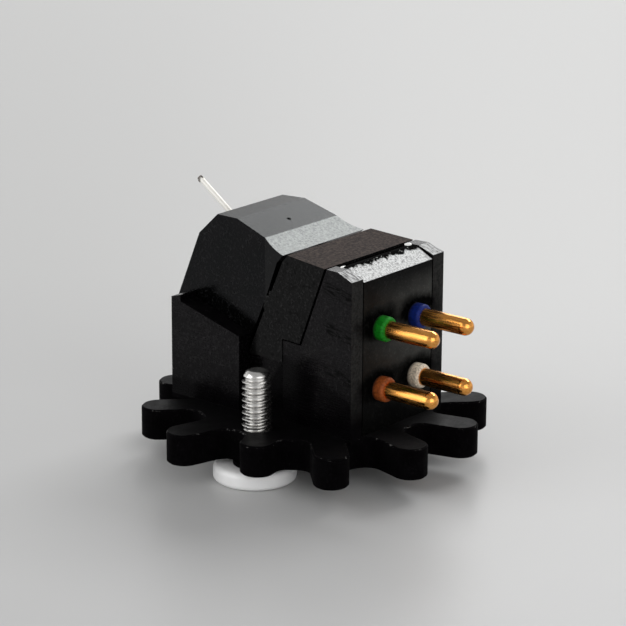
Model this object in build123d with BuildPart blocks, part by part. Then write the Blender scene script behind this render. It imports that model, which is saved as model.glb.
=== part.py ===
from build123d import *

import os
from math import cos, radians, sin, tan

os.makedirs("parts", exist_ok=True)

# Moving-coil stylus cartridge, standing upside down on its washers with the stylus up.
# Millimetres, +Z up, front (stylus) towards -Y, terminal pins towards +Y.
# Origin: midway between the two mounting screws, on the face that meets the headshell.
# A profile is drawn on Plane.YZ as (y, z) points and extruded to both sides of x = 0.

# Mounting screws and washers
screw_spacing = 12.7
screw_r = 0.95
thread_mean_r = 0.88
screw_tip_z = 7.1
tip_chamfer = 0.25
slot_width = 0.35
slot_depth = 0.6
washer_r = 2.6
washer_bore_r = 1.1
washer_t = 1.05
washer_edge = 0.3
washer_y = -0.18

# Finger plate, with a raised land under it that rests on the washers
land_h = 0.25
land_r = 5.2
boss_r = 1.5
plate_t = 2.0
plate_y = -0.59
finger_count = 12
first_finger = 15
short_fingers = (15, 165)
finger_reach = 9.9
short_reach = 8.45
finger_r = 1.1
valley_r = 7.55
valley_fillet = 0.85
finger_edge = 0.1

# Block on the plate: cheeks in front, rear block behind, a web between them
block_half = 4.56
block_sink = 0.3
front_y = -8.66
front_corner_z = 9.69
lug_y = -7.89
lug_z = 9.92
rim_front_z = 9.49
rim_rear_z = 8.15
cheek_end_y = -3.01
cheek_gap = 0.08
web_half = 3.4
step_y = 0.17
step_z = 8.45
rear_y = 5.94
rear_top_z = 13.76
strip_bevel_y = 4.8
strip_bevel_z = 13.34
groove_depth = 0.45

# Generator: housing and magnet lean back between the cheeks and the rear block
tilt = 20.0
seat_depth = 1.5
nose_y = -9.7
brow_y = -7.63
brow_z = 13.73
top_front_y = -5.97
top_front_z = 15.25
top_rear_y = -4.24
top_z = 15.3
slope_end_y = -1.78
slope_end_z = 14.54
cove_mid_y = -0.95
cove_mid_z = 14.1
cove_end_y = 0.05
cove_end_z = 13.84
lip_low_z = 13.25
housing_half = 3.5
housing_taper = 0.082
magnet_gap = 0.55
magnet_front_y = 0.1
magnet_front_z = 13.48
magnet_front_tilt = 24.5
magnet_top_y = 0.52
magnet_top_z = 13.96
magnet_rear_y = 3.66
magnet_rear_z = 13.74
magnet_rear_tilt = 21.8
magnet_foot_gap = 0.08
magnet_foot_z = 7.0
joint_gap = 0.18
glue_low_z = 10.9
glue_top_z = 13.52
wedge_y = 0.52
wedge_half = 4.11
wedge_taper = 0.086

# Lever: cantilever, coils and suspension share one leaning axis through the pivot
lever_angle = 35.5
lever_length = 7.0
lever_tip_y = -10.26
lever_tip_z = 16.31
cantilever_r = 0.18
stylus_half = 0.08
stylus_length = 0.46
stylus_point = 0.16
stylus_taper = 30
former_half_t = 0.175
arm_half = 0.3
arm_length = 1.15
coil_start = 0.62
coil_end = 1.0
coil_half = 0.5
coil_half_t = 0.33
chamber_r = 1.5
mouth_r = 0.8
front_pole_near = 0.75
front_pole_t = 0.45
front_pole_bore_r = 0.75
damper_near = 0.6
damper_t = 0.4
damper_r = 0.95
damper_bore_r = 0.3
damper_edge = 0.1
rear_pole_near = 1.15
rear_pole_r = 1.0
wire_r = 0.06
wire_gap = 0.02
wire_length = 1.9
wire_bore_r = 0.3
clamp_near = 1.45
clamp_r = 0.45
clamp_length = 1.4
clamp_bore_r = 0.27
clamp_bore_depth = 1.1
pinhole_y = -2.79
pinhole_r = 0.14

# Terminals
panel_half = 3.39
panel_gap = 0.1
panel_front_y = 4.3
panel_bevel_y = 4.56
panel_top_z = 13.8
panel_bevel_z = 13.11
pin_r = 0.55
pin_shank_r = 0.38
pin_x = 1.744
pin_low_z = 6.02
pin_high_z = 9.89
pin_tail_y = 3.9
pin_end_y = 10.34
sleeve_r = 0.78
sleeve_start_y = 4.9
sleeve_mouth_y = 6.7
sleeve_edge = 0.2
cavity_half = 2.6
cavity_y = 3.0
cavity_low_z = 4.6
cavity_high_z = 10.55
lead_r = 0.07
lead_x = 1.25
lead_z = 10.2
lead_spread = 0.09
lead_hole_r = 0.22
lead_bend_y = 3.4
lead_end_y = -1.9

# Worked out from the sizes above
plate_z = washer_t + land_h
plate_top = plate_z + plate_t
block_z = plate_top - block_sink
screw_x = screw_spacing / 2
magnet_foot_y = step_y - magnet_foot_gap
magnet_shelf_z = step_z + magnet_foot_gap
lean = tan(radians(tilt))
front_lean = tan(radians(magnet_front_tilt))
rear_lean = tan(radians(magnet_rear_tilt))
pivot_y = lever_tip_y + lever_length * cos(radians(lever_angle))
pivot_z = lever_tip_z - lever_length * sin(radians(lever_angle))
seat_drop = seat_depth / cos(radians(tilt))
far = 30.0


def seat_at(y):
    """Height of the leaning seat under the generator housing."""
    return lug_z - (y - lug_y) * lean - seat_drop


def magnet_front_at(z):
    """Where the magnet's leaning front face lies at height z."""
    return magnet_front_y - (magnet_front_z - z) * front_lean


def magnet_rear_at(z):
    """Where the magnet's leaning rear face lies at height z."""
    return magnet_rear_y - (magnet_rear_z - z) * rear_lean


def block_front_at(z):
    """Where the rear block's leaning front face lies at height z."""
    return magnet_rear_at(z) + joint_gap


def housing_rear_at(z):
    """Where the housing's rear face lies at height z."""
    return magnet_front_at(z) - magnet_gap


def lever_plane(ahead):
    """Plane square to the lever, at a distance ahead of the pivot towards the stylus."""
    angle = radians(lever_angle)
    forward = Vector(0, -cos(angle), sin(angle))
    return Plane(Vector(0, pivot_y, pivot_z) + forward * ahead, x_dir=(1, 0, 0), z_dir=forward)


def plan_wedge(half, taper, at_y):
    """Plan outline whose half width is half at at_y and grows by taper towards the rear."""
    reach = far / 2
    front = half - taper * reach
    rear = half + taper * reach
    return [(-front, at_y - reach), (front, at_y - reach), (rear, at_y + reach), (-rear, at_y + reach)]


# Lowest corner at the back of the housing, where its rear face meets the leaning seat
housing_heel_z = (seat_at(0) - lean * housing_rear_at(0)) / (1 + lean * front_lean)
housing_heel_y = housing_rear_at(housing_heel_z)

# Rear block of the body, wedge-shaped in plan
with BuildPart() as rear_block:
    with BuildSketch(Plane.YZ):
        with BuildLine():
            Polyline(
                (step_y, block_z),
                (step_y, step_z),
                (block_front_at(step_z), step_z),
                (block_front_at(rear_top_z), rear_top_z),
                (strip_bevel_y, rear_top_z),
                (rear_y, strip_bevel_z),
                (rear_y, block_z),
                close=True,
            )
        make_face()
    extrude(amount=far, both=True)
    with BuildSketch():
        Polygon(*plan_wedge(wedge_half, wedge_taper, wedge_y), align=None)
    extrude(amount=far, mode=Mode.INTERSECT)

# Leaning seat for the housing between the cheeks, open to the front
with BuildPart() as housing_seat:
    with BuildSketch(Plane.YZ):
        with BuildLine():
            Polyline(
                (nose_y, seat_at(nose_y)),
                (housing_heel_y, housing_heel_z),
                (cheek_end_y, magnet_foot_z),
                (cheek_end_y, far),
                (nose_y, far),
                close=True,
            )
        make_face()
    extrude(amount=far, both=True)
    with BuildSketch():
        Polygon(*plan_wedge(housing_half + cheek_gap, housing_taper, slope_end_y), align=None)
    extrude(amount=2 * far, mode=Mode.INTERSECT)

# Body: finger plate, land, cheeks, web and rear block in one piece
with BuildPart() as body:
    with BuildSketch(Plane.XY.offset(plate_z)) as plate_outline:
        with Locations((0, plate_y)):
            Circle(valley_r)
        for index in range(finger_count):
            angle = first_finger + 360 / finger_count * index
            reach = short_reach if angle in short_fingers else finger_reach
            middle = (reach / 2 * cos(radians(angle)), plate_y + reach / 2 * sin(radians(angle)))
            with Locations(middle):
                SlotCenterToCenter(reach, 2 * finger_r, rotation=angle)
        roots = [
            v
            for v in plate_outline.vertices()
            if abs((Vector(*v) - Vector(0, plate_y, 0)).length - valley_r) < finger_edge
        ]
        fillet(roots, valley_fillet)
    extrude(amount=plate_t)
    chamfer(body.faces().filter_by(Axis.Z).edges(), finger_edge)

    with BuildSketch(Plane.XY.offset(washer_t)):
        with Locations((0, plate_y)):
            Circle(land_r)
        with Locations((-screw_x, 0), (screw_x, 0)):
            Circle(boss_r)
        Rectangle(screw_spacing, 2 * boss_r)
    extrude(amount=land_h)

    with BuildSketch(Plane.YZ):
        with BuildLine():
            Polyline(
                (front_y, block_z),
                (front_y, front_corner_z),
                (lug_y, lug_z),
                (lug_y, rim_front_z),
                (cheek_end_y, rim_rear_z),
                (cheek_end_y, block_z),
                close=True,
            )
        make_face()
    extrude(amount=block_half, both=True)

    with BuildSketch(Plane.YZ):
        with BuildLine():
            Polyline(
                (cheek_end_y, block_z),
                (cheek_end_y, magnet_foot_z),
                (step_y, magnet_foot_z),
                (step_y, block_z),
                close=True,
            )
        make_face()
    extrude(amount=web_half, both=True)

    add(rear_block.part)

    add(housing_seat.part, mode=Mode.SUBTRACT)

    # Slot for the terminal panel, with the glue groove and the wiring cavity in front of it
    with BuildSketch(Plane.XY.offset(plate_top)):
        with Locations((0, (panel_front_y + rear_y) / 2)):
            Rectangle(2 * (panel_half + panel_gap), rear_y - panel_front_y)
    extrude(amount=far, mode=Mode.SUBTRACT)
    with BuildSketch(Plane.XY.offset(rear_top_z - groove_depth)):
        with Locations((0, (magnet_rear_y + panel_front_y) / 2)):
            Rectangle(2 * (panel_half + panel_gap), panel_front_y - magnet_rear_y)
    extrude(amount=groove_depth, mode=Mode.SUBTRACT)
    with BuildSketch(Plane.XY.offset(cavity_low_z)):
        with Locations((0, (cavity_y + panel_front_y) / 2)):
            Rectangle(2 * cavity_half, panel_front_y - cavity_y)
    extrude(amount=cavity_high_z - cavity_low_z, mode=Mode.SUBTRACT)
    with BuildSketch(Plane.XZ.offset(-panel_front_y)):
        with Locations((-lead_x, lead_z), (lead_x, lead_z)):
            Circle(lead_hole_r)
    extrude(amount=panel_front_y - step_y, mode=Mode.SUBTRACT)

    # Tapped holes drawn at the thread's mean radius
    with BuildSketch():
        with Locations((-screw_x, 0), (screw_x, 0)):
            Circle(thread_mean_r)
    extrude(amount=plate_top, mode=Mode.SUBTRACT)

body.part.label = "body"
export_step(body.part, "parts/body.step")

# Mounting screws: slotted studs that end level with the washers
with BuildPart() as mounting_screws:
    with Locations((-screw_x, 0), (screw_x, 0)):
        Cylinder(thread_mean_r, plate_top, align=(Align.CENTER, Align.CENTER, Align.MIN))
    with Locations((-screw_x, 0, plate_top), (screw_x, 0, plate_top)):
        Cylinder(screw_r, screw_tip_z - plate_top, align=(Align.CENTER, Align.CENTER, Align.MIN))
    tips = mounting_screws.faces().filter_by(Axis.Z).group_by(Axis.Z)[-1]
    chamfer(tips.edges(), tip_chamfer)
    with Locations((-screw_x, 0), (screw_x, 0)):
        Box(
            2 * screw_r,
            slot_width,
            slot_depth,
            align=(Align.CENTER, Align.CENTER, Align.MIN),
            mode=Mode.SUBTRACT,
        )

mounting_screws.part.label = "mounting_screws"
export_step(mounting_screws.part, "parts/mounting_screws.step")

# Washers under the plate's bosses, loose on the screws
with BuildPart() as nylon_washers:
    with BuildSketch():
        with Locations((-screw_x, washer_y), (screw_x, washer_y)):
            Circle(washer_r)
            Circle(washer_bore_r, mode=Mode.SUBTRACT)
    extrude(amount=washer_t)
    outer_rims = nylon_washers.edges().filter_by(GeomType.CIRCLE).group_by(SortBy.RADIUS)[-1]
    fillet(outer_rims, washer_edge)

nylon_washers.part.label = "nylon_washers"
export_step(nylon_washers.part, "parts/nylon_washers.step")

# Generator housing: faceted front block with the lever's chamber in it; its cove flares to the magnet's width
with BuildPart() as generator_housing:
    with BuildSketch(Plane.YZ):
        with BuildLine():
            cove_end = (cove_end_y, cove_end_z)
            Polyline(
                cove_end,
                (housing_rear_at(lip_low_z), lip_low_z),
                (housing_heel_y, housing_heel_z),
                (nose_y, seat_at(nose_y)),
                (brow_y, brow_z),
                (top_front_y, top_front_z),
                (top_rear_y, top_z),
                (slope_end_y, slope_end_z),
            )
            ThreePointArc((slope_end_y, slope_end_z), (cove_mid_y, cove_mid_z), cove_end)
        make_face()
    extrude(amount=far, both=True)
    with BuildSketch():
        Polygon(*plan_wedge(housing_half, housing_taper, slope_end_y), align=None)
        Polygon(
            (-housing_half, slope_end_y),
            (housing_half, slope_end_y),
            (wedge_half, wedge_y),
            (-wedge_half, wedge_y),
            align=None,
        )
    extrude(amount=far, mode=Mode.INTERSECT)
    with BuildSketch(lever_plane(front_pole_near + front_pole_t)):
        Circle(chamber_r)
    extrude(amount=-lever_length, mode=Mode.SUBTRACT)
    with BuildSketch(lever_plane(0)):
        Circle(mouth_r)
    extrude(amount=lever_length, mode=Mode.SUBTRACT)
    with BuildSketch(Plane.XY.offset(pivot_z)):
        with Locations((0, pinhole_y)):
            Circle(pinhole_r)
    extrude(amount=far, mode=Mode.SUBTRACT)

generator_housing.part.label = "generator_housing"
export_step(generator_housing.part, "parts/generator_housing.step")

# Magnet: leaning slab behind the housing, with a foot on the body's web
with BuildPart() as magnet:
    with BuildSketch(Plane.YZ):
        with BuildLine():
            Polyline(
                (magnet_front_at(magnet_foot_z), magnet_foot_z),
                (magnet_front_y, magnet_front_z),
                (magnet_top_y, magnet_top_z),
                (magnet_rear_y, magnet_rear_z),
                (magnet_rear_at(magnet_shelf_z), magnet_shelf_z),
                (magnet_foot_y, magnet_shelf_z),
                (magnet_foot_y, magnet_foot_z),
                close=True,
            )
        make_face()
    extrude(amount=far, both=True)
    with BuildSketch():
        Polygon(*plan_wedge(wedge_half, wedge_taper, wedge_y), align=None)
    extrude(amount=far, mode=Mode.INTERSECT)
    with BuildSketch(Plane.XZ.offset(-rear_y)):
        with Locations((-lead_x, lead_z), (lead_x, lead_z)):
            Circle(lead_hole_r)
    extrude(amount=far, mode=Mode.SUBTRACT)

magnet.part.label = "magnet"
export_step(magnet.part, "parts/magnet.step")

# Glue between the magnet and the rear block, filling the groove on top
with BuildPart() as glue_bead:
    with BuildSketch(Plane.YZ):
        with BuildLine():
            groove_low_z = rear_top_z - groove_depth
            Polyline(
                (magnet_rear_at(glue_low_z), glue_low_z),
                (magnet_rear_at(glue_top_z), glue_top_z),
                (panel_front_y, glue_top_z),
                (panel_front_y, groove_low_z),
                (block_front_at(groove_low_z), groove_low_z),
                (block_front_at(glue_low_z), glue_low_z),
                close=True,
            )
        make_face()
    extrude(amount=panel_half, both=True)

glue_bead.part.label = "glue_bead"
export_step(glue_bead.part, "parts/glue_bead.step")

# Pole pieces: a ring in front of the coils and a rod behind them
with BuildPart() as front_pole:
    with BuildSketch(lever_plane(front_pole_near)):
        Circle(chamber_r)
        Circle(front_pole_bore_r, mode=Mode.SUBTRACT)
    extrude(amount=front_pole_t)

front_pole.part.label = "front_pole"
export_step(front_pole.part, "parts/front_pole.step")

with BuildPart() as rear_pole:
    with BuildSketch(lever_plane(-rear_pole_near)):
        Circle(rear_pole_r)
        Circle(wire_bore_r, mode=Mode.SUBTRACT)
    extrude(amount=-lever_length)
    with BuildSketch(lever_plane(-clamp_near)):
        Circle(clamp_r)
    extrude(amount=-lever_length, mode=Mode.SUBTRACT)
    with BuildSketch(Plane.YZ):
        with BuildLine():
            Polyline(
                (magnet_front_at(0), 0),
                (magnet_front_at(far), far),
                (far, far),
                (far, 0),
                close=True,
            )
        make_face()
    extrude(amount=far, both=True, mode=Mode.SUBTRACT)

rear_pole.part.label = "rear_pole"
export_step(rear_pole.part, "parts/rear_pole.step")

# Tie-wire suspension: clamp ferrule, wire and damper ring
with BuildPart() as wire_clamp:
    with BuildSketch(lever_plane(-clamp_near)):
        Circle(clamp_r)
    extrude(amount=-clamp_length)
    with BuildSketch(lever_plane(-clamp_near)):
        Circle(clamp_bore_r)
    extrude(amount=-clamp_bore_depth, mode=Mode.SUBTRACT)

wire_clamp.part.label = "wire_clamp"
export_step(wire_clamp.part, "parts/wire_clamp.step")

with BuildPart() as suspension_wire:
    with BuildSketch(lever_plane(-former_half_t - wire_gap)):
        Circle(wire_r)
    extrude(amount=-wire_length)

suspension_wire.part.label = "suspension_wire"
export_step(suspension_wire.part, "parts/suspension_wire.step")

with BuildPart() as damper_ring:
    with BuildSketch(lever_plane(-damper_near)):
        Circle(damper_r)
        Circle(damper_bore_r, mode=Mode.SUBTRACT)
    extrude(amount=-damper_t)
    fillet(damper_ring.edges().filter_by(GeomType.CIRCLE).group_by(SortBy.RADIUS)[-1], damper_edge)

damper_ring.part.label = "damper_ring"
export_step(damper_ring.part, "parts/damper_ring.step")

# Moving cross with one coil per channel, on the cantilever's root
with BuildPart() as coil_former:
    with BuildSketch(lever_plane(-former_half_t)):
        for turn in (45, 135):
            Rectangle(2 * arm_length, 2 * arm_half, rotation=turn)
    extrude(amount=2 * former_half_t)

coil_former.part.label = "coil_former"
export_step(coil_former.part, "parts/coil_former.step")

for channel, turn in (("left", 45), ("right", 135)):
    arm = lever_plane(0).location * Location((0, 0, 0), (0, 0, turn))
    with BuildPart() as coil:
        for side in (-1, 1):
            middle = side * (coil_start + coil_end) / 2
            with Locations(arm * Location((middle, 0, 0))):
                Box(coil_end - coil_start, 2 * coil_half, 2 * coil_half_t)
        with Locations(arm):
            Box(2 * arm_length, 2 * arm_half, 2 * former_half_t, mode=Mode.SUBTRACT)
    coil.part.label = f"coil_{channel}"
    export_step(coil.part, f"parts/coil_{channel}.step")

with BuildPart() as cantilever:
    with BuildSketch(lever_plane(former_half_t)):
        Circle(cantilever_r)
    extrude(amount=lever_length - former_half_t)
    stylus_plane = lever_plane(lever_length - 2 * stylus_half)
    with Locations(stylus_plane):
        Box(2 * stylus_half, 2 * cantilever_r, 2 * stylus_half, mode=Mode.SUBTRACT)

cantilever.part.label = "cantilever"
export_step(cantilever.part, "parts/cantilever.step")

# Stylus: square shank through the cantilever's end, ground to a point
with BuildPart() as stylus:
    shank_up = stylus_plane.y_dir
    shank_low = stylus_plane.origin - shank_up * (stylus_length / 2)
    with BuildSketch(Plane(shank_low, x_dir=(1, 0, 0), z_dir=shank_up)):
        Rectangle(2 * stylus_half, 2 * stylus_half)
    extrude(amount=stylus_length - stylus_point)
    extrude(stylus.faces().sort_by(Axis.Z)[-1], amount=stylus_point, taper=stylus_taper)

stylus.part.label = "stylus"
export_step(stylus.part, "parts/stylus.step")

# Terminal panel in the rear slot
with BuildPart() as terminal_panel:
    with BuildSketch(Plane.YZ):
        with BuildLine():
            Polyline(
                (panel_front_y, plate_top),
                (panel_front_y, panel_top_z),
                (panel_bevel_y, panel_top_z),
                (rear_y, panel_bevel_z),
                (rear_y, plate_top),
                close=True,
            )
        make_face()
    extrude(amount=panel_half, both=True)
    pin_places = [(x, z) for x in (-pin_x, pin_x) for z in (pin_low_z, pin_high_z)]
    with BuildSketch(Plane.XZ.offset(-panel_front_y)):
        with Locations(*pin_places):
            Circle(pin_shank_r)
    extrude(amount=-far, mode=Mode.SUBTRACT)
    with BuildSketch(Plane.XZ.offset(-sleeve_start_y)):
        with Locations(*pin_places):
            Circle(sleeve_r)
    extrude(amount=-far, mode=Mode.SUBTRACT)

terminal_panel.part.label = "terminal_panel"
export_step(terminal_panel.part, "parts/terminal_panel.step")

# One pin, colour sleeve and lead per terminal
terminals = {
    "right_ground": ("green", 1, pin_high_z),
    "left_ground": ("blue", -1, pin_high_z),
    "right_signal": ("red", 1, pin_low_z),
    "left_signal": ("white", -1, pin_low_z),
}
for terminal, (colour, side, pin_z) in terminals.items():
    with BuildPart() as pin:
        with BuildSketch(Plane.XZ.offset(-pin_tail_y)):
            with Locations((side * pin_x, pin_z)):
                Circle(pin_shank_r)
        extrude(amount=-(sleeve_mouth_y - pin_tail_y))
        with BuildSketch(Plane.XZ.offset(-sleeve_mouth_y)):
            with Locations((side * pin_x, pin_z)):
                Circle(pin_r)
        extrude(amount=-(pin_end_y - pin_r - sleeve_mouth_y))
        with Locations((side * pin_x, pin_end_y - pin_r, pin_z)):
            Sphere(pin_r)
    pin.part.label = f"pin_{terminal}"
    export_step(pin.part, f"parts/pin_{terminal}.step")

    with BuildPart() as sleeve:
        with BuildSketch(Plane.XZ.offset(-sleeve_start_y)):
            with Locations((side * pin_x, pin_z)):
                Circle(sleeve_r)
                Circle(pin_shank_r, mode=Mode.SUBTRACT)
        extrude(amount=-(sleeve_mouth_y - sleeve_start_y))
        fillet(sleeve.edges().group_by(Axis.Y)[-1].sort_by(SortBy.RADIUS)[-1], sleeve_edge)
    sleeve.part.label = f"sleeve_{colour}"
    export_step(sleeve.part, f"parts/sleeve_{colour}.step")

    high = pin_z == pin_high_z
    run_z = lead_z + (lead_spread if high else -lead_spread)
    route = [
        (side * pin_x, pin_tail_y, pin_z),
        (side * pin_x, lead_bend_y, pin_z),
        (side * lead_x, lead_bend_y, run_z),
        (side * lead_x, lead_end_y, run_z),
    ]
    with BuildPart() as lead:
        with BuildLine():
            FilletPolyline(*route, radius=2 * lead_r)
        with BuildSketch(Plane.XZ.offset(-pin_tail_y)):
            with Locations((side * pin_x, pin_z)):
                Circle(lead_r)
        sweep()
    lead.part.label = f"lead_{terminal}"
    export_step(lead.part, f"parts/lead_{terminal}.step")
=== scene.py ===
import math

import bmesh
import bpy
import numpy as np
from mathutils import Matrix, Vector, noise


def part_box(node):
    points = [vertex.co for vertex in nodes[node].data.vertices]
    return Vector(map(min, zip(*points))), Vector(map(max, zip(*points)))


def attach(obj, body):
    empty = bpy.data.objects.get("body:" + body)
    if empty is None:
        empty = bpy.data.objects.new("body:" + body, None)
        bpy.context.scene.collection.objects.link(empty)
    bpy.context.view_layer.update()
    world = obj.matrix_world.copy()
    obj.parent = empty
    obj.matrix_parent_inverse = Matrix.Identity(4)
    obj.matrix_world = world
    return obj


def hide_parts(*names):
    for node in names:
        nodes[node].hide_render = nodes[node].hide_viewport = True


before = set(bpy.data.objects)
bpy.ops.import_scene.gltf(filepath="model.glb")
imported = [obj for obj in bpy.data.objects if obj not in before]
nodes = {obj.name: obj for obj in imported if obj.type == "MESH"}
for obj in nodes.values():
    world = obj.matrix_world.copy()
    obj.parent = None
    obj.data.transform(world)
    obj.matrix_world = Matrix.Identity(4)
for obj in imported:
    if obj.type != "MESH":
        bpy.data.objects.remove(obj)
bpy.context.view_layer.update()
scene = bpy.context.scene
scene.view_settings.view_transform = "Standard"
MM = 0.001
SPAN_SOCKETS = ("From Min", "From Max", "To Min", "To Max")

# Camera at the photograph's viewpoint
CAMERA_PLACE = Vector((130.304, 105.958, 60.804)) * MM
PLAN, PITCH, ROLL = (math.radians(a) for a in (39.328, 17.074, 0.31))
ahead = Vector(
    (
        -math.cos(PLAN) * math.cos(PITCH),
        -math.sin(PLAN) * math.cos(PITCH),
        -math.sin(PITCH),
    )
)
level = Vector((-math.sin(PLAN), math.cos(PLAN), 0.0))
upright = level.cross(ahead)
right = math.cos(ROLL) * level + math.sin(ROLL) * upright
up = -math.sin(ROLL) * level + math.cos(ROLL) * upright
camera = bpy.data.objects.new("camera", bpy.data.cameras.new("camera"))
scene.collection.objects.link(camera)
camera.matrix_world = Matrix.Translation(CAMERA_PLACE) @ Matrix((right, up, -ahead)).transposed().to_4x4()
camera.data.lens = 161.138
camera.data.sensor_width = 36.0
camera.data.clip_start = 0.01
camera.data.clip_end = 10.0
scene.camera = camera


class Surface:
    """A Principled material with procedural detail; texture sizes are in millimetres."""

    def __init__(self, name, **sockets):
        self.material = bpy.data.materials.new(name)
        self.material.use_nodes = True
        self.tree = self.material.node_tree
        self.shader = self.tree.nodes["Principled BSDF"]
        self.where = self.add("ShaderNodeTexCoord").outputs["Object"]
        self.facing = self.add("ShaderNodeNewGeometry").outputs["Normal"]
        for socket, value in sockets.items():
            self.shader.inputs[socket.replace("_", " ")].default_value = value

    def add(self, kind, **settings):
        made = self.tree.nodes.new(kind)
        for key, value in settings.items():
            setattr(made, key, value)
        return made

    def join(self, source, target):
        self.tree.links.new(source, target)

    def mm(self, stretch=(1, 1, 1), turn=(0, 0, 0)):
        """Object coordinates in millimetres, stretched and turned."""
        made = self.add("ShaderNodeMapping")
        self.join(self.where, made.inputs["Vector"])
        made.inputs["Scale"].default_value = [s / MM for s in stretch]
        made.inputs["Rotation"].default_value = [math.radians(a) for a in turn]
        return made.outputs[0]

    def grain(self, per_mm, detail=3.0, rough=0.55, vector=None):
        made = self.add("ShaderNodeTexNoise")
        self.join(vector or self.mm(), made.inputs["Vector"])
        made.inputs["Scale"].default_value = per_mm
        made.inputs["Detail"].default_value = detail
        made.inputs["Roughness"].default_value = rough
        return made.outputs["Fac"]

    def span(self, value, low, high, to_low=0.0, to_high=1.0):
        """A value mapped from one range to another, clamped at both ends."""
        made = self.add("ShaderNodeMapRange")
        self.join(value, made.inputs["Value"])
        for socket, number in zip(SPAN_SOCKETS, (low, high, to_low, to_high)):
            made.inputs[socket].default_value = number
        return made.outputs["Result"]

    def math(self, operation, a, b):
        made = self.add("ShaderNodeMath", operation=operation)
        for socket, value in zip(made.inputs, (a, b)):
            if isinstance(value, (int, float)):
                socket.default_value = value
            else:
                self.join(value, socket)
        return made.outputs[0]

    def along(self, name, low_mm, high_mm):
        """0 to 1 along one axis of the object's own frame."""
        return self.span(self.axis(self.where, name), low_mm * MM, high_mm * MM)

    def faces(self, name, low, high):
        """0 to 1 as the surface turns towards one axis."""
        return self.span(self.axis(self.facing, name), low, high)

    def axis(self, vector, name):
        made = self.add("ShaderNodeSeparateXYZ")
        self.join(vector, made.inputs[0])
        return made.outputs[name]

    def ramp(self, value, *stops):
        made = self.add("ShaderNodeValToRGB")
        self.join(value, made.inputs["Fac"])
        bar = made.color_ramp.elements
        while len(bar) < len(stops):
            bar.new(0.5)
        for element, (place, colour) in zip(bar, stops):
            element.position = place
            element.color = (*colour, 1.0)
        return made.outputs["Color"]

    def mix(self, value, a, b):
        made = self.add("ShaderNodeMix", data_type="RGBA")
        for socket, colour in ((made.inputs[0], value), (made.inputs[6], a), (made.inputs[7], b)):
            if isinstance(colour, tuple):
                socket.default_value = (*colour, 1.0)
            else:
                self.join(colour, socket)
        return made.outputs[2]

    def colour(self, source):
        self.join(source, self.shader.inputs["Base Color"])

    def roughness(self, source):
        self.join(source, self.shader.inputs["Roughness"])

    def gloss(self, source):
        """Tint of the mirror-like part of the finish."""
        self.join(source, self.shader.inputs["Specular Tint"])

    def both(self, *masks):
        """Product of several masks."""
        product = masks[0]
        for mask in masks[1:]:
            product = self.math("MULTIPLY", product, mask)
        return product

    def outside(self, mask):
        return self.math("SUBTRACT", 1.0, mask)

    def relief(self, height, depth_mm, over=None):
        """Bumps of the given depth, on top of another relief if there is one."""
        made = self.add("ShaderNodeBump")
        made.inputs["Strength"].default_value = 1.0
        made.inputs["Distance"].default_value = depth_mm * MM
        self.join(height, made.inputs["Height"])
        if over:
            self.join(over, made.inputs["Normal"])
        self.join(made.outputs[0], self.shader.inputs["Normal"])
        return made.outputs[0]


def shades(base, *factors):
    """Darker and lighter versions of a colour."""
    return [tuple(min(1.0, c * f) for c in base) for f in factors]


def plain(name, base, metallic, rough, per_mm, depth_mm=0.002, spread=0.12, swing=0.25, **sockets):
    """A fine-grained finish: colour, roughness and relief all vary with two sizes of grain."""
    made = Surface(name, Metallic=metallic, **sockets)
    fine = made.grain(per_mm)
    broad = made.grain(per_mm / 6, detail=2.0)
    dark, light = shades(base, 1 - swing, 1 + swing)
    made.colour(made.ramp(broad, (0.3, dark), (0.7, light)))
    made.roughness(made.span(fine, 0.25, 0.75, rough - spread, rough + spread))
    made.relief(fine, depth_mm)
    return made


def dress(surface, *names):
    """Give CAD nodes a finish."""
    for name in names:
        slots = nodes[name].data.materials
        slots.clear()
        slots.append(surface.material)


# Heights and places that finishes change at, in millimetres
PLATE_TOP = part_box("terminal_panel")[0][2] / MM
BEVEL_LOW = 13.0
SMEAR_LOW = 13.66
COVE_START = -1.8
# Brink of the painted shade low on the block: its height at the front and at the rear, and its fall per
# millimetre further back
SHADE_FRONT, SHADE_BACK, SHADE_FALL = 4.4, 7.6, 0.3
NICK_SLANT, NICK_ROWS, NICK_FROM = 0.16, (13.23, 10.71, 8.03), 3.5
STRIP_FROM, STRIP_FADE = 5.0, (4.2, 6.4)
# Where the painted dark reflections of the sleeves lie: distance from the middle in X, heights of the rows,
# and a factor on their sideways reach
REFLECTION_X, REFLECTION_ROWS, REFLECTION_LONG = 1.9, (10.25, 6.3), 0.42
PIN_TIP = 9.6
# Painted sheen on the panel: the heights where it rises and falls, and the X where it is full and where it
# is thin
SHEEN_RISE, SHEEN_FALL = (5.5, 8.5), (10.6, 12.8)
SHEEN_FULL_X, SHEEN_THIN_X = -3.2, 2.6
RING_ROOT = (5.95, 6.2)
LEVER_END = (-10.12, -10.0)


def tilted_back(made):
    """Mask of the faces that lean to the rear and up."""
    return made.both(made.faces("Y", 0.15, 0.25), made.faces("Z", 0.5, 0.7))


def rear_bevel(made):
    """Mask of the ground facets along the top of the rear, which carry a painted highlight."""
    return made.both(tilted_back(made), made.along("Z", BEVEL_LOW, BEVEL_LOW + 0.1))


def painted_shade_depth(made):
    """Millimetres below the ragged brink of a painted shade low on the block, which is higher on the rear
    block.
    """
    place = made.mm()
    y = made.axis(place, "Y")
    rise = made.span(y, -2.0, 0.0, SHADE_FRONT, SHADE_BACK)
    brink = made.math("SUBTRACT", rise, made.span(y, 0.0, 8.0, 0.0, 8.0 * SHADE_FALL))
    fray = made.span(made.grain(2.2, detail=5.0, rough=0.7), 0.25, 0.75, -0.4, 0.4)
    return made.math("SUBTRACT", made.math("ADD", brink, fray), made.axis(place, "Z"))


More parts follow.
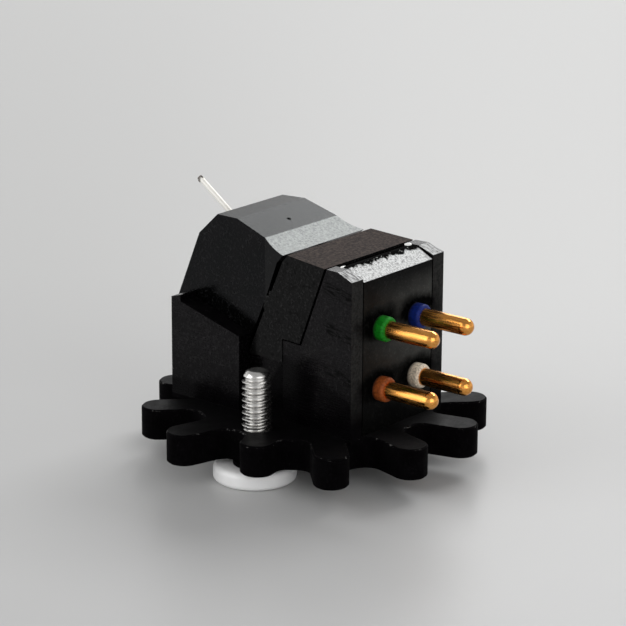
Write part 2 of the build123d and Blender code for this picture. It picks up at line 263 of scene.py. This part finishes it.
def side_nicks(made):
    """Mask of the short strokes cut in rows into the rear block's +X side."""
    place = made.mm()
    y = made.axis(place, "Y")
    slant = made.math("ADD", made.axis(place, "Z"), made.math("MULTIPLY", y, NICK_SLANT))
    stretched = made.add("ShaderNodeCombineXYZ")
    made.join(made.math("MULTIPLY", y, 1.3), stretched.inputs["Y"])
    made.join(made.math("MULTIPLY", slant, 9.5), stretched.inputs["Z"])
    rows = None
    for middle in NICK_ROWS:
        off = made.math("ABSOLUTE", made.math("SUBTRACT", slant, middle), 0.0)
        row = made.span(off, 0.25, 0.5, 1.0, 0.0)
        rows = made.math("MAXIMUM", rows, row) if rows else row
    strokes = made.span(made.grain(1.0, detail=1.0, vector=stretched.outputs[0]), 0.52, 0.54)
    return made.both(strokes, rows, made.along("Y", NICK_FROM, NICK_FROM + 0.3), made.faces("X", 0.7, 0.9))


def painted_sleeve_reflection(made):
    """Mask of the painted dark reflections of the sleeves, drawn sideways above the colour rings."""
    place = made.mm()
    across = made.math("SUBTRACT", made.math("ABSOLUTE", made.axis(place, "X"), 0.0), REFLECTION_X)
    across = made.math("POWER", made.math("MULTIPLY", across, REFLECTION_LONG), 2.0)
    reach = None
    for middle in REFLECTION_ROWS:
        off = made.math("POWER", made.math("SUBTRACT", made.axis(place, "Z"), middle), 2.0)
        row = made.math("SQRT", made.math("ADD", across, off), 0.0)
        reach = made.math("MINIMUM", reach, row) if reach else row
    uneven = made.math("ADD", reach, made.span(made.grain(1.2, detail=3.0), 0.3, 0.7, -0.14, 0.14))
    return made.span(uneven, 0.6, 1.2, 1.0, 0.0)


def black_satin():
    """Body: glossy black block, mottled and nicked, on a dull plate; painted shade low along the block, a
    painted sheen on the rear strip, and a painted highlight on the ground rear facets.
    """
    made = Surface("black_satin", Specular_IOR_Level=0.14)
    block = made.along("Z", PLATE_TOP - 0.05, PLATE_TOP + 0.05)
    facet = rear_bevel(made)
    rim = made.both(tilted_back(made), block, made.outside(facet))
    fine = made.grain(6.0, detail=4.0, rough=0.75)
    broad = made.grain(1.1)
    scored = made.grain(1.0, detail=4.0, vector=made.mm((1.0, 0.9, 13.0)))
    nicks = side_nicks(made)
    # Painted shade low along the block: the gloss dims over 2.6 mm above a ragged brink, and below it the
    # specks go and the gloss is least.
    depth = painted_shade_depth(made)
    painted_foot_shade = made.both(made.span(depth, -0.15, 0.25), block)
    painted_shade_fade = made.both(made.span(depth, -2.6, 0.0, 0.0, 0.55), block)
    strip = made.both(block, made.faces("Y", 0.8, 0.95), made.along("Y", STRIP_FROM, STRIP_FROM + 0.2))
    speck = made.both(made.span(fine, 0.56, 0.70), made.span(block, 0.0, 1.0, 0.3, 1.0), made.outside(painted_foot_shade))
    black = made.ramp(broad, (0.3, (0.0006, 0.0004, 0.0006)), (0.72, (0.0016, 0.0013, 0.0017)))
    black = made.mix(speck, black, (0.014, 0.013, 0.014))
    edge = made.both(
        made.faces("Z", 0.3, 0.5),
        made.outside(made.faces("Z", 0.85, 0.95)),
        made.outside(block),
    )
    worn = made.both(edge, made.span(made.grain(3.0, detail=4.0, rough=0.7), 0.58, 0.66))
    black = made.mix(worn, black, (0.10, 0.098, 0.095))
    sanded = made.grain(6.5, rough=0.7, vector=made.mm((1.0, 0.25, 0.25)))
    # Painted highlight: the rear facets' pale colour, grained along their slope.
    ground = made.ramp(sanded, (0.40, (0.07, 0.07, 0.07)), (0.58, (0.50, 0.51, 0.505)))
    # Painted sheen on the rear strip beside the panel: a paler colour that fades out downwards and is left
    # out where the painted dark reflections of the sleeves lie.
    painted_sheen_colour = made.ramp(fine, (0.34, (0.008, 0.008, 0.008)), (0.66, (0.028, 0.028, 0.027)))
    painted_strip_sheen = made.both(strip, made.along("Z", *STRIP_FADE), made.outside(painted_sleeve_reflection(made)))
    black = made.mix(painted_strip_sheen, black, painted_sheen_colour)
    made.colour(made.mix(facet, made.mix(nicks, black, (0.0, 0.0, 0.0)), ground))
    mottle = made.ramp(fine, (0.36, (0.50, 0.46, 0.50)), (0.64, (1.0, 0.98, 1.0)))
    shine = made.mix(block, (0.12, 0.12, 0.12), made.mix(nicks, mottle, (0.05, 0.05, 0.05)))
    shine = made.mix(painted_foot_shade, made.mix(painted_shade_fade, shine, (0.10, 0.10, 0.10)), (0.03, 0.03, 0.03))
    dull = made.math("MAXIMUM", rim, strip)
    made.gloss(made.mix(dull, shine, (0.05, 0.05, 0.05)))
    base = made.math("ADD", made.span(block, 0.0, 1.0, 0.95, 0.24), made.span(dull, 0.0, 1.0, 0.0, 0.6))
    base = made.math("ADD", base, made.span(facet, 0.0, 1.0, 0.0, 0.14))
    grained = made.math("ADD", base, made.span(fine, 0.25, 0.75, -0.05, 0.07))
    made.roughness(made.math("ADD", grained, made.span(scored, 0.35, 0.65, -0.04, 0.06)))
    made.relief(fine, 0.007, over=made.relief(scored, 0.004))
    return made


def panel_black():
    """Terminal panel: speckled black, with a painted sheen across its middle, painted dark reflections
    beside the sleeves, and a sparkling ground bevel that glue has smeared along its top; the bevel's
    brightness and sparkle are a painted highlight.
    """
    made = Surface("panel_black", Specular_IOR_Level=0.05)
    fine = made.grain(6.5, detail=4.0, rough=0.75)
    broad = made.grain(0.9, detail=2.0)
    speck = made.span(fine, 0.55, 0.70)
    # Painted sheen across the middle of the panel, standing in for the floor's reflection: a paler colour
    # between two heights that thins towards +X and is left out where the painted dark reflections of the
    # sleeves lie.
    painted_sheen_mask = made.both(made.along("Z", *SHEEN_RISE), made.outside(made.along("Z", *SHEEN_FALL)))
    painted_sheen_mask = made.both(painted_sheen_mask, made.span(made.axis(made.mm(), "X"), SHEEN_FULL_X, SHEEN_THIN_X, 1.0, 0.12))
    sleeve_reflection = painted_sleeve_reflection(made)
    painted_sheen_mask = made.both(painted_sheen_mask, made.outside(sleeve_reflection))
    clear = made.ramp(broad, (0.3, (0.0005, 0.0005, 0.0005)), (0.7, (0.0015, 0.0015, 0.0014)))
    painted_sheen = made.ramp(broad, (0.3, (0.050, 0.051, 0.048)), (0.7, (0.074, 0.075, 0.071)))
    clear = made.mix(speck, clear, (0.010, 0.010, 0.0096))
    painted_sheen = made.mix(speck, painted_sheen, (0.105, 0.106, 0.100))
    black = made.mix(painted_sheen_mask, clear, painted_sheen)
    sparkle = made.grain(8.5, detail=4.0, rough=0.75)
    # Painted highlight: the bevel's pale colour, with painted glints in its sparkle.
    ground = made.ramp(sparkle, (0.36, (0.20, 0.20, 0.20)), (0.56, (0.74, 0.75, 0.745)))
    fray = made.span(made.grain(1.1, detail=5.0, rough=0.7), 0.3, 0.7, -0.13, 0.13)
    ragged = made.math("ADD", made.axis(made.mm(), "Z"), fray)
    smear = made.span(ragged, SMEAR_LOW, SMEAR_LOW + 0.06)
    residue = made.span(made.grain(4.0, detail=3.0, rough=0.7), 0.60, 0.66)
    smeared = made.mix(residue, (0.002, 0.002, 0.002), (0.40, 0.40, 0.39))
    facet = rear_bevel(made)
    made.colour(made.mix(facet, black, made.mix(smear, ground, smeared)))
    mottle = made.ramp(fine, (0.36, (0.55, 0.55, 0.55)), (0.64, (1.0, 1.0, 1.0)))
    # Dull, rougher gloss on the glue smear and the panel's top, and on the painted dark reflections of the
    # sleeves.
    glue_and_painted_reflection = made.math("MAXIMUM", made.both(facet, smear), made.faces("Z", 0.9, 0.97))
    glue_and_painted_reflection = made.math("MAXIMUM", glue_and_painted_reflection, made.both(sleeve_reflection, made.outside(facet)))
    made.gloss(made.mix(glue_and_painted_reflection, mottle, (0.02, 0.02, 0.02)))
    base = made.math("ADD", made.span(facet, 0.0, 1.0, 0.34, 0.40), made.span(glue_and_painted_reflection, 0.0, 1.0, 0.0, 0.75))
    made.roughness(made.math("ADD", base, made.span(fine, 0.25, 0.75, -0.06, 0.10)))
    made.relief(fine, 0.010)
    return made


def cool_black_coat():
    """Generator housing: smooth black coat with a blotchy sheen, its cool tint on upward faces a painted
    reflection tint, and a grained cove whose paleness is a painted highlight.
    """
    made = Surface("cool_black_coat", Specular_IOR_Level=0.12)
    fine = made.grain(6.0, detail=4.0, rough=0.75)
    broad = made.grain(0.45, detail=2.0, vector=made.mm((0.4, 1.0, 1.0)))
    cove = made.both(made.along("Y", COVE_START, COVE_START + 0.06), made.faces("Z", 0.4, 0.5))
    black = made.ramp(broad, (0.3, (0.0004, 0.0004, 0.0004)), (0.7, (0.0012, 0.0012, 0.0013)))
    black = made.mix(made.span(fine, 0.55, 0.70), black, (0.015, 0.0152, 0.0156))
    # Painted highlight: the cove's pale colour.
    pale = made.ramp(fine, (0.36, (0.215, 0.227, 0.222)), (0.64, (0.46, 0.476, 0.468)))
    made.colour(made.mix(cove, black, pale))
    # Painted reflection tint: cool on upward faces only, neutral on the sides.
    cool = made.ramp(fine, (0.34, (0.62, 0.74, 0.77)), (0.66, (0.86, 1.0, 1.0)))
    neutral = made.ramp(fine, (0.34, (0.66, 0.64, 0.70)), (0.66, (0.93, 0.90, 0.98)))
    sheen = made.mix(made.faces("Z", 0.3, 0.6), neutral, cool)
    blotch = made.span(made.grain(0.5, detail=3.0), 0.40, 0.62, 0.0, 0.45)
    made.gloss(made.mix(blotch, sheen, (0.40, 0.50, 0.54)))
    base = made.span(cove, 0.0, 1.0, 0.14, 0.40)
    made.roughness(made.math("ADD", base, made.span(fine, 0.25, 0.75, -0.04, 0.05)))
    made.relief(fine, 0.008)
    return made


def sintered_black():
    """Magnet: sintered, pitted, with its upward face painted a paler brown where it catches warm light."""
    made = Surface("sintered_black", Specular_IOR_Level=0.12)
    fine = made.grain(5.5, detail=4.0, rough=0.75)
    broad = made.grain(1.4)
    upward = made.faces("Z", 0.6, 0.9)
    pits = made.span(made.grain(3.2, detail=2.0), 0.3, 0.42, 1.0, 0.0)
    whole = made.outside(made.both(pits, made.span(upward, 0.0, 1.0, 1.0, 0.35)))
    side = made.ramp(broad, (0.3, (0.0005, 0.0005, 0.0005)), (0.7, (0.002, 0.0019, 0.002)))
    side = made.mix(made.span(fine, 0.55, 0.70), side, (0.016, 0.0155, 0.016))
    # Painted reflection: paler brown on upward faces, while the sides stay black.
    top = made.ramp(fine, (0.38, (0.008, 0.0055, 0.0047)), (0.62, (0.068, 0.050, 0.043)))
    made.colour(made.mix(whole, (0.001, 0.001, 0.001), made.mix(upward, side, top)))
    sheen = made.ramp(fine, (0.36, (0.45, 0.45, 0.45)), (0.64, (1.0, 1.0, 1.0)))
    made.gloss(made.mix(whole, (0.1, 0.1, 0.1), sheen))
    base = made.span(upward, 0.0, 1.0, 0.24, 0.76)
    made.roughness(made.math("ADD", base, made.span(fine, 0.25, 0.75, -0.08, 0.08)))
    made.relief(fine, 0.010)
    return made


def gold_plate():
    """Pins: bright gold drawn along their length, and polished at the tip."""
    made = Surface("gold_plate", Metallic=1.0)
    fine = made.grain(9.0)
    drawn = made.grain(1.0, detail=4.0, vector=made.mm((9.0, 0.8, 9.0)))
    made.colour(made.ramp(drawn, (0.3, (0.62, 0.25, 0.050)), (0.7, (0.93, 0.44, 0.110))))
    polish = made.span(made.along("Y", PIN_TIP, PIN_TIP + 0.2), 0.0, 1.0, 0.0, 0.12)
    made.roughness(made.math("SUBTRACT", made.span(drawn, 0.3, 0.7, 0.16, 0.34), polish))
    made.relief(fine, 0.006, over=made.relief(drawn, 0.008))
    return made


def sleeve(name, base):
    """Colour ring on a pin: coarse dull plastic, with painted shade next to the panel."""
    made = Surface("sleeve_" + name, Specular_IOR_Level=0.2)
    fine = made.grain(7.0, detail=4.0, rough=0.7)
    dark, light = shades(base, 0.45, 1.35)
    # Painted shade: nearly black at the panel, fading to full colour a quarter millimetre out.
    painted_root_shade = made.along("Y", *RING_ROOT)
    made.colour(made.mix(painted_root_shade, (0.004, 0.004, 0.004), made.ramp(fine, (0.32, dark), (0.68, light))))
    made.roughness(made.span(fine, 0.25, 0.75, 0.4, 0.65))
    made.relief(fine, 0.02)
    return made


dress(black_satin(), "body")
dress(panel_black(), "terminal_panel")
dress(cool_black_coat(), "generator_housing")
dress(sintered_black(), "magnet")
glossy_glue = plain(
    "glossy_glue", (0.002, 0.002, 0.002), 0.0, 0.14, 3.0, 0.010, spread=0.05, Specular_IOR_Level=0.1
)
dress(glossy_glue, "glue_bead")
dress(gold_plate(), "pin_right_ground", "pin_left_ground", "pin_right_signal", "pin_left_signal")
for name, base in (
    ("green", (0.004, 0.19, 0.008)),
    ("blue", (0.003, 0.016, 0.155)),
    ("red", (0.29, 0.068, 0.014)),
    ("white", (0.70, 0.62, 0.50)),
):
    dress(sleeve(name, base), "sleeve_" + name)
nylon = plain("nylon", (0.95, 0.95, 0.935), 0.0, 0.38, 3.0, 0.006, swing=0.04)
nylon.shader.inputs["Subsurface Weight"].default_value = 0.9
nylon.shader.inputs["Subsurface Radius"].default_value = (1.0, 1.0, 1.0)
nylon.shader.inputs["Subsurface Scale"].default_value = 1.6 * MM
dress(nylon, "nylon_washers")


def light_alloy():
    """Cantilever: pale drawn tube, with dark adhesive around the stylus at its end."""
    made = Surface("light_alloy", Metallic=0.35)
    drawn = made.grain(8.0)
    pale = made.ramp(drawn, (0.3, (0.80, 0.78, 0.73)), (0.7, (0.92, 0.90, 0.85)))
    bare = made.along("Y", *LEVER_END)
    made.colour(made.mix(bare, (0.16, 0.145, 0.13), pale))
    made.roughness(made.span(drawn, 0.25, 0.75, 0.5, 0.66))
    made.relief(drawn, 0.001)
    return made


dress(light_alloy(), "cantilever")
dress(plain("dark_diamond", (0.11, 0.10, 0.09), 0.0, 0.2, 8.0, 0.001), "stylus")
dress(plain("soft_iron", (0.32, 0.32, 0.33), 1.0, 0.42, 6.0), "front_pole", "rear_pole")
dress(plain("brass", (0.72, 0.53, 0.24), 1.0, 0.28, 6.0), "wire_clamp")
dress(plain("spring_wire", (0.55, 0.55, 0.54), 1.0, 0.28, 12.0), "suspension_wire")
dress(plain("rubber", (0.02, 0.02, 0.02), 0.0, 0.7, 6.0, 0.006), "damper_ring")
dress(plain("former", (0.62, 0.58, 0.48), 0.0, 0.5, 6.0, 0.004), "coil_former")
winding = plain("enamelled_copper", (0.66, 0.31, 0.15), 1.0, 0.3, 9.0, 0.004)
dress(winding, "coil_left", "coil_right")
dress(winding, *(f"lead_{s}_{k}" for s in ("left", "right") for k in ("ground", "signal")))


def piece(name, build, surface, body):
    """A new mesh piece made from a filled bmesh."""
    mesh = bpy.data.meshes.new(name)
    bmesh.ops.recalc_face_normals(build, faces=build.faces)
    build.to_mesh(mesh)
    build.free()
    mesh.materials.append(surface.material)
    made = bpy.data.objects.new(name, mesh)
    scene.collection.objects.link(made)
    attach(made, body)
    return made


# Studs with a real thread on their free ends
STUD_X = 6.35
STUD_FOOT, STUD_TOP, CUT_GAP = 3.3, 7.1, 0.02
CREST_R, ROOT_R, PITCH_MM = 0.94, 0.73, 0.4
CREST_START, CREST_RUN = 0.40, 0.52
TIP_R, TIP_RISE, TIP_INSET = 0.40, 0.62, 0.06
AROUND, STEP = 48, 0.02


def thread_radius(z, turn):
    """Radius of the threaded end at height z and angle turn."""
    phase = (z / PITCH_MM - turn / math.tau) % 1.0
    crest = min(1.0, max(0.0, (abs(phase - 0.5) * 2 - CREST_START) / CREST_RUN))
    below = (STUD_TOP - z) / TIP_RISE
    blank = CREST_R
    if below < 1.0:
        blank = TIP_R + (CREST_R - TIP_INSET - TIP_R) * math.sqrt(max(0.0, 1.0 - (1.0 - below) ** 2))
    return min(blank, ROOT_R + (CREST_R - ROOT_R) * crest)


def add_thread(build, middle_x):
    """A closed threaded end around one stud's axis."""
    heights = np.arange(STUD_FOOT, STUD_TOP, STEP).tolist() + [STUD_TOP]
    rings = []
    for z in heights:
        turns = [math.tau * k / AROUND for k in range(AROUND)]
        radii = [thread_radius(z, t) for t in turns]
        rings.append(
            [
                build.verts.new(((middle_x + r * math.cos(t)) * MM, r * math.sin(t) * MM, z * MM))
                for r, t in zip(radii, turns)
            ]
        )
    for low, high in zip(rings, rings[1:]):
        for k in range(AROUND):
            n = (k + 1) % AROUND
            build.faces.new((low[k], low[n], high[n], high[k])).smooth = True
    build.faces.new(rings[0][::-1])
    build.faces.new(rings[-1])


studs = bmesh.new()
studs.from_mesh(nodes["mounting_screws"].data)
bmesh.ops.remove_doubles(studs, verts=studs.verts, dist=1e-7)
bmesh.ops.bisect_plane(
    studs,
    geom=studs.verts[:] + studs.edges[:] + studs.faces[:],
    plane_co=(0, 0, (STUD_FOOT - CUT_GAP) * MM),
    plane_no=(0, 0, 1),
    clear_outer=True,
)
bmesh.ops.holes_fill(studs, edges=[e for e in studs.edges if e.is_boundary], sides=0)
for middle_x in (-STUD_X, STUD_X):
    add_thread(studs, middle_x)
steel = plain("bright_steel", (0.70, 0.69, 0.67), 1.0, 0.22, 9.0, 0.002, spread=0.06, swing=0.06)
threaded = piece("threaded_studs", studs, steel, "cartridge")
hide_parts("mounting_screws")

# Adhesive: two drops at the panel's top corners, coloured pale as painted glints, and dark lumps along the
# seam between the housing and the magnet, on both sides
BLOB_WAVES, BLOB_SWELL = 1.3, 0.35
GLINT_DROPS = (
    ((3.36, 4.28, 13.70), (0.30, 0.12, 0.12), 3.0),
    ((-3.08, 4.30, 13.76), (0.24, 0.20, 0.17), 7.0),
)
SEAM_LUMPS = ((10.98, 0.16, 1.0), (10.72, 0.24, 2.0), (10.42, 0.22, 3.0), (10.12, 0.15, 4.0))
SEAM_X, SEAM_Y, SEAM_Z, SEAM_LEAN = 3.58, -1.40, 10.7, 0.4557
SEAM_THICK, SEAM_TALL = 0.09, 0.24


def add_blob(build, centre, radii, seed):
    """A small lump of set adhesive, uneven like a squeezed-out drop."""
    made = bmesh.ops.create_icosphere(build, subdivisions=4, radius=1.0)
    for v in made["verts"]:
        wave = noise.noise(v.co * BLOB_WAVES + Vector((seed, 0.4 * seed, 0.0)))
        swell = 1 + BLOB_SWELL * wave
        v.co = Vector(((centre[k] + v.co[k] * radii[k] * swell) * MM for k in range(3)))
    for f in build.faces:
        f.smooth = True


glint_drops = bmesh.new()
for centre, radii, seed in GLINT_DROPS:
    add_blob(glint_drops, centre, radii, seed)
# Painted glints: the drops' pale colour stands for highlights on glossy black glue.
painted_glint = plain("glue_painted_glint", (0.85, 0.85, 0.83), 0.0, 0.18, 4.0, 0.01, swing=0.08)
piece("glue_drops_painted_glint", glint_drops, painted_glint, "cartridge")

seam = bmesh.new()
for side in (-1, 1):
    for z, reach, seed in SEAM_LUMPS:
        y = SEAM_Y + (z - SEAM_Z) * SEAM_LEAN
        add_blob(seam, (side * SEAM_X, y, z), (SEAM_THICK, reach, SEAM_TALL), seed)
piece("seam_glue", seam, glossy_glue, "cartridge")

# Floor, light and surroundings
FLOOR_HALF, FLOOR_DROP, FLOOR_TURN = 1.5, 0.02, -39.3
LAMP_CENTRE, LAMP_DISTANCE = Vector((0, -0.001, 0.008)), 0.5
SKY_SPAN = (0.1, 0.7, 0.93, 0.40)
floor_mesh = bpy.data.meshes.new("floor")
build = bmesh.new()
bmesh.ops.create_grid(build, x_segments=2, y_segments=2, size=FLOOR_HALF)
build.to_mesh(floor_mesh)
build.free()
floor = bpy.data.objects.new("floor", floor_mesh)
floor.location.z = -FLOOR_DROP * MM
scene.collection.objects.link(floor)
paper = Surface("pale_floor", Roughness=0.4, Specular_IOR_Level=0.3)
# Painted shade: the floor is a little darker and cloudy towards the camera.
nearness = paper.span(paper.axis(paper.mm(turn=(0, 0, FLOOR_TURN)), "X"), -40.0, 25.0)
cloudy = paper.grain(0.05, detail=2.0)
painted_near_shade = paper.ramp(cloudy, (0.3, (0.475, 0.475, 0.475)), (0.7, (0.495, 0.495, 0.493)))
paper.colour(paper.mix(nearness, (0.508, 0.508, 0.503), painted_near_shade))
floor_mesh.materials.append(paper.material)


def softbox(name, towards, size, watts):
    """A soft lamp that faces the object from one direction."""
    lamp = bpy.data.lights.new(name, "AREA")
    lamp.shape = "RECTANGLE"
    lamp.size, lamp.size_y = size
    lamp.energy = watts
    made = bpy.data.objects.new(name, lamp)
    aim = Vector(towards).normalized()
    made.location = LAMP_CENTRE + aim * LAMP_DISTANCE
    made.rotation_mode = "QUATERNION"
    made.rotation_quaternion = aim.to_track_quat("Z", "Y")
    scene.collection.objects.link(made)


softbox("key", (-0.742, -0.03, 0.65), (0.25, 0.18), 1.18)
softbox("back_panel", (-0.74, -0.44, 0.46), (0.16, 0.18), 0.31)
softbox("left_fill", (0.75, -0.50, 0.34), (0.40, 0.40), 0.9)
softbox("right_fill", (0.40, 0.85, 0.34), (0.40, 0.40), 0.78)
world = bpy.data.worlds.new("studio")
world.use_nodes = True
sky = world.node_tree
height = sky.nodes.new("ShaderNodeSeparateXYZ")
sky.links.new(sky.nodes.new("ShaderNodeTexCoord").outputs["Generated"], height.inputs[0])
fade = sky.nodes.new("ShaderNodeMapRange")
sky.links.new(height.outputs["Z"], fade.inputs["Value"])
for socket, number in zip(SPAN_SOCKETS, SKY_SPAN):
    fade.inputs[socket].default_value = number
sky.nodes["Background"].inputs["Color"].default_value = (1.0, 1.0, 1.0, 1.0)
sky.links.new(fade.outputs["Result"], sky.nodes["Background"].inputs["Strength"])
scene.world = world
